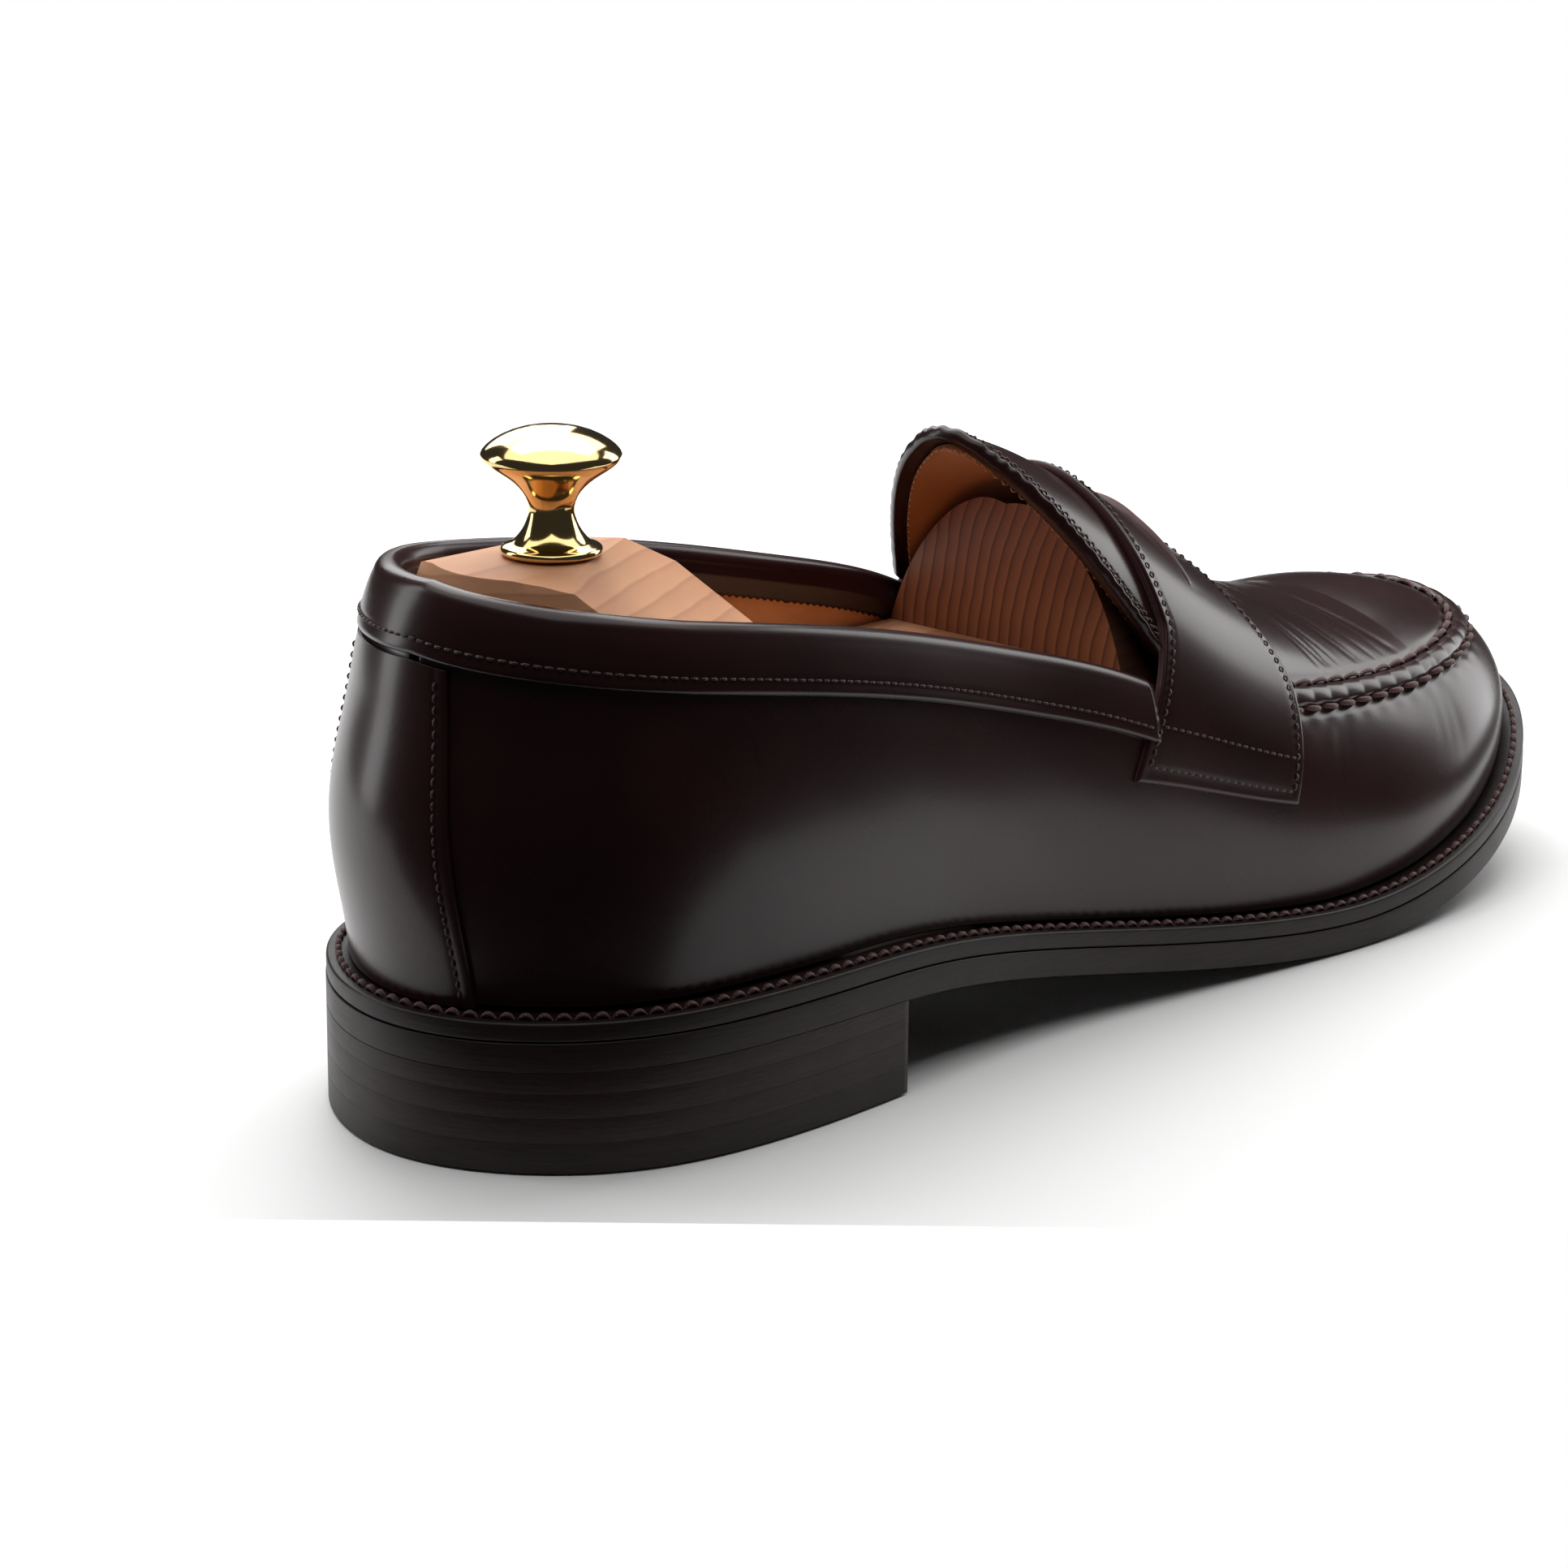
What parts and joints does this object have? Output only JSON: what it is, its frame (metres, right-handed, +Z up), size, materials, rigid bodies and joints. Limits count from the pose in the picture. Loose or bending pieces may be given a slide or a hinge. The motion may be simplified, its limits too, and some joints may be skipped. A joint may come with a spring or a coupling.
{
  "type": "penny loafer",
  "caption": "Slip-on leather shoe with a moccasin apron, saddle strap with a coin slot, welted leather sole and stacked heel, holding a sprung wooden shoe tree with a turned knob.",
  "frame": {"origin": "middle of the footprint box, on the ground", "axes": "+X to the toe, +Y to the inner side of the foot, +Z up"},
  "size_m": [0.3026, 0.1036, 0.1164],
  "materials": {
    "upper_leather": "polished smooth, near-black burgundy",
    "trim_leather": "polished smooth, near-black burgundy, cut edges redder",
    "lining_leather": "matt tan calf",
    "stiffener": "raw leather board",
    "sole_leather": "burnished dark brown edge",
    "insole_leather": "raw vegetable-tanned",
    "cork": "pressed granules",
    "rubber": "matt",
    "cedar": "sanded, unvarnished",
    "brass": "polished",
    "steel": "plated"
  },
  "bodies": {
    "shoe": {"outsole": "sole_leather", "welt": "sole_leather", "heel_top_piece": "rubber", "heel_lift_lower": "sole_leather", "heel_lift_middle": "sole_leather", "heel_seat_lift": "sole_leather", "cork_filler": "cork", "heel_seat_board": "stiffener", "shank": "steel", "insole": "insole_leather", "heel_sock": "lining_leather", "quarter_lining": "lining_leather", "heel_stiffener": "stiffener", "back_strap": "trim_leather", "collar_band": "trim_leather", "vamp": "upper_leather", "apron": "upper_leather", "toe_puff": "stiffener", "vamp_lining": "lining_leather", "apron_seam": "trim_leather", "tongue": "upper_leather", "tongue_lining": "lining_leather", "saddle_strap": "trim_leather", "tree_forepart": "cedar", "tree_tube": "brass", "tree_spring": "steel"},
    "tree_heel": {"tree_heel_block": "cedar", "tree_rod": "steel", "tree_knob": "brass", "tree_knob_screw": "steel"}
  },
  "joints": [
    {"name": "tree_slide", "type": "slide", "parent": "shoe", "child": "tree_heel", "axis": [1, 0, 0], "range_m": [0, 0.014], "stiffness_N_per_m": 800, "springref_m": -0.012, "deforming": ["tree_spring"]}
  ]
}
